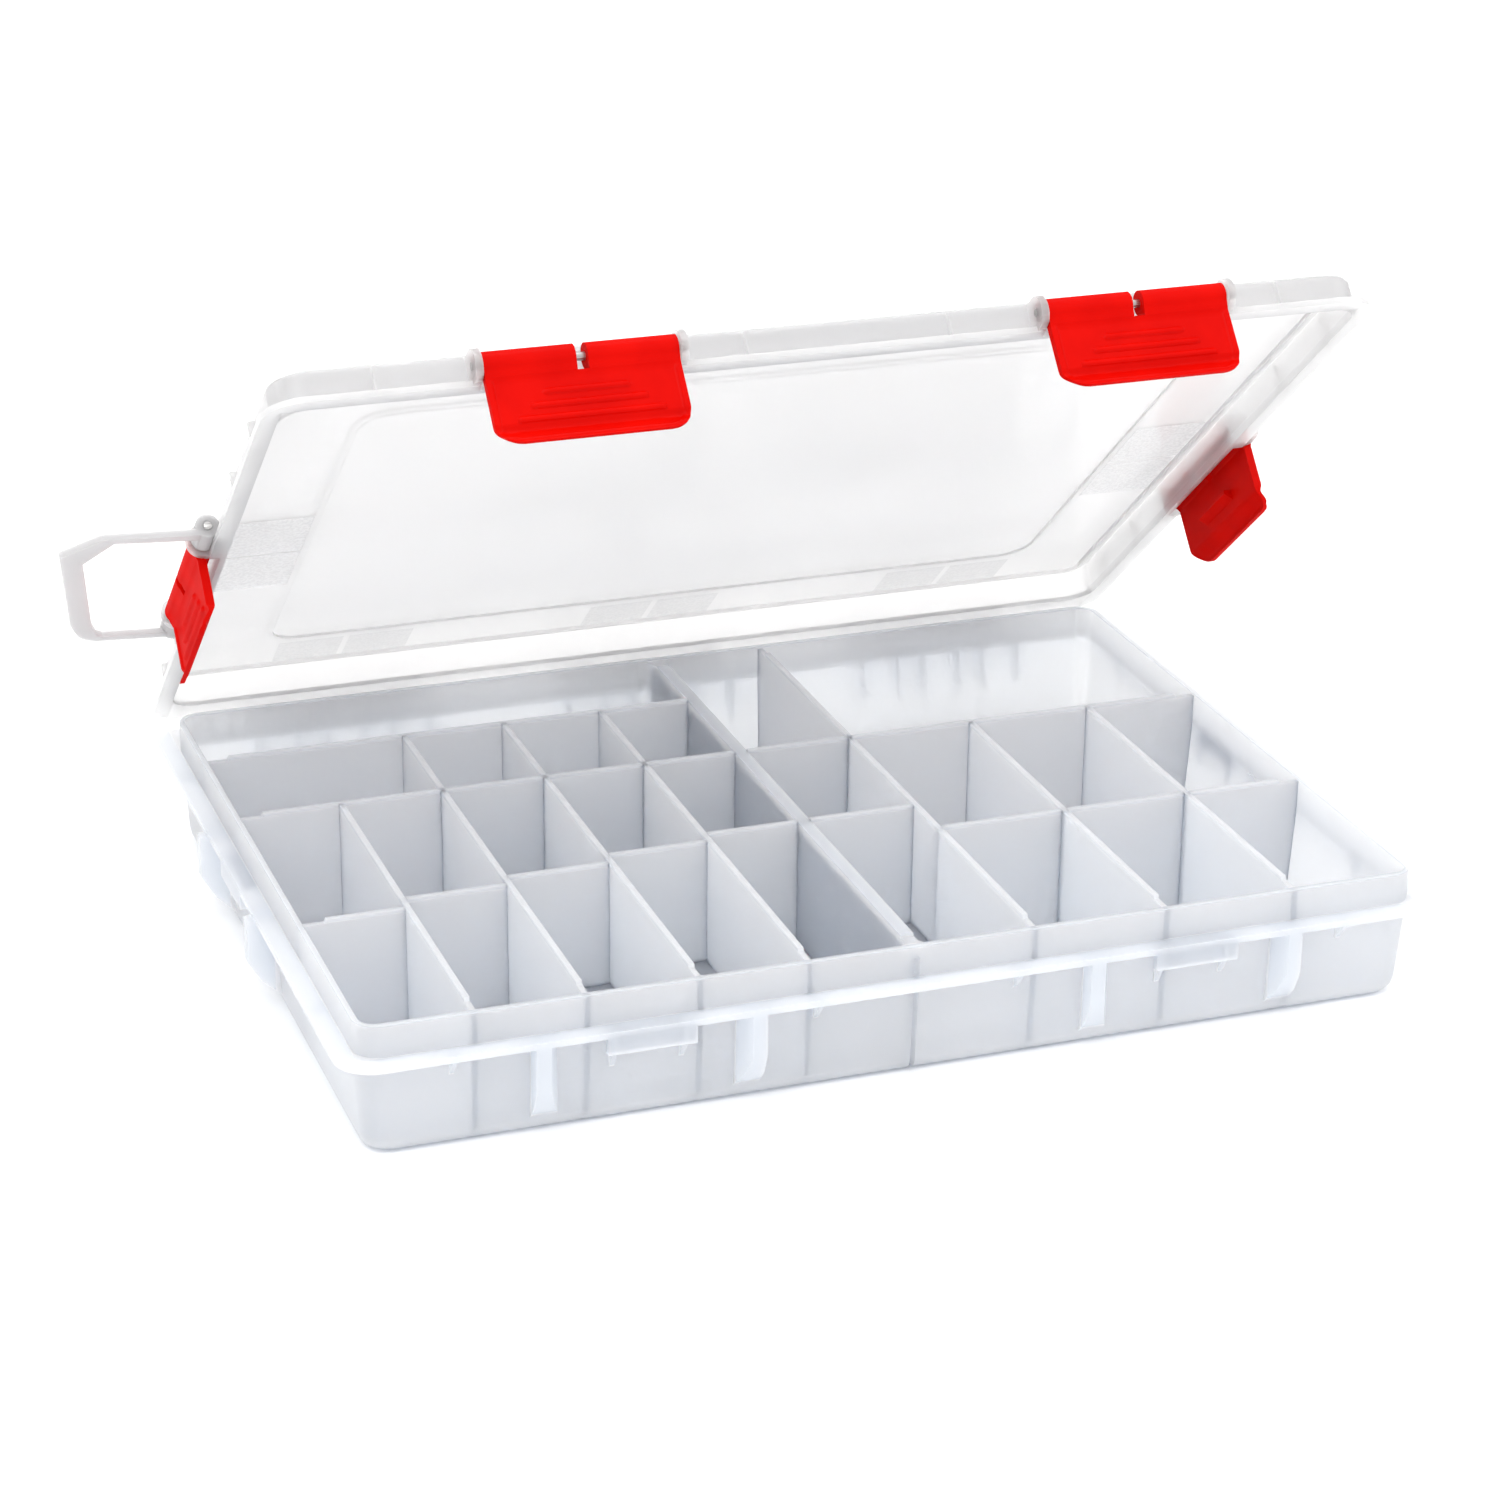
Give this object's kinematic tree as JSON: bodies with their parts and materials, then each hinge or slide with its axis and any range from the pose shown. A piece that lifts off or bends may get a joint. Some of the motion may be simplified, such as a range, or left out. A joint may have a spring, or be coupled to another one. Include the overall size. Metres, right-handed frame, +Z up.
{
  "type": "tackle box",
  "caption": "Flat compartment tackle box in clear plastic: divided two-bay tray, pin-hinged lid standing open, pivoting latches on the front and both ends, and a bail handle.",
  "frame": {"origin": "on the underside of the tray, at the middle of its rim", "axes": "+X along the box towards the right-hand end, -Y towards the latched front, +Z up"},
  "size_m": [0.4127, 0.279, 0.2254],
  "materials": {
    "clear_polypropylene": "translucent, satin, slightly cloudy",
    "orange_red_polypropylene": "opaque satin",
    "stainless_steel": "drawn wire"
  },
  "bodies": {
    "tray": {"tray_shell": "clear_polypropylene", "partition_1": "clear_polypropylene", "partition_2": "clear_polypropylene", "partition_3": "clear_polypropylene", "partition_4": "clear_polypropylene", "partition_5": "clear_polypropylene", "partition_6": "clear_polypropylene", "partition_7": "clear_polypropylene", "rear_partition_2": "clear_polypropylene", "rear_partition_3": "clear_polypropylene", "rear_partition_4": "clear_polypropylene", "rear_partition_5": "clear_polypropylene", "long_wall_left": "clear_polypropylene", "long_wall_right": "clear_polypropylene", "trough_wall": "clear_polypropylene", "cross_wall_1": "clear_polypropylene", "cross_wall_2": "clear_polypropylene", "cross_wall_3": "clear_polypropylene", "cross_wall_4": "clear_polypropylene", "cross_wall_5": "clear_polypropylene", "cross_wall_6": "clear_polypropylene", "cross_wall_7": "clear_polypropylene", "cross_wall_8": "clear_polypropylene", "cross_wall_9": "clear_polypropylene", "hinge_pin_left": "stainless_steel", "hinge_pin_centre": "stainless_steel", "hinge_pin_right": "stainless_steel"},
    "lid": {"lid": "clear_polypropylene", "latch_pin_front_left": "stainless_steel", "latch_pin_front_right": "stainless_steel", "latch_pin_left": "stainless_steel", "latch_pin_right": "stainless_steel"},
    "latch_front_left": {"latch_front_left": "orange_red_polypropylene"},
    "latch_front_right": {"latch_front_right": "orange_red_polypropylene"},
    "latch_left": {"latch_left": "orange_red_polypropylene"},
    "latch_right": {"latch_right": "orange_red_polypropylene"},
    "handle": {"handle": "clear_polypropylene"}
  },
  "joints": [
    {"name": "lid_hinge", "type": "hinge", "parent": "tray", "child": "lid", "pos_m": [0, 0.1435, 0.0344], "axis": [-1, 0, 0], "range_deg": [-41, 139]},
    {"name": "latch_front_left_pivot", "type": "hinge", "parent": "lid", "child": "latch_front_left", "pos_m": [-0.085, -0.06229, 0.22018], "axis": [-1, 0, 0], "range_deg": [0, 150]},
    {"name": "latch_front_right_pivot", "type": "hinge", "parent": "lid", "child": "latch_front_right", "pos_m": [0.094, -0.06229, 0.22018], "axis": [-1, 0, 0], "range_deg": [0, 150]},
    {"name": "latch_left_pivot", "type": "hinge", "parent": "lid", "child": "latch_left", "pos_m": [-0.1812, 0.05069, 0.12197], "axis": [0, 0.7547, -0.6561], "range_deg": [0, 150]},
    {"name": "latch_right_pivot", "type": "hinge", "parent": "lid", "child": "latch_right", "pos_m": [0.1812, 0.05069, 0.12197], "axis": [0, -0.7547, 0.6561], "range_deg": [0, 150]},
    {"name": "handle_pivot", "type": "hinge", "parent": "lid", "child": "handle", "pos_m": [-0.1812, 0.05069, 0.12197], "axis": [0, 0.7547, -0.6561], "range_deg": [-55, 90]}
  ]
}
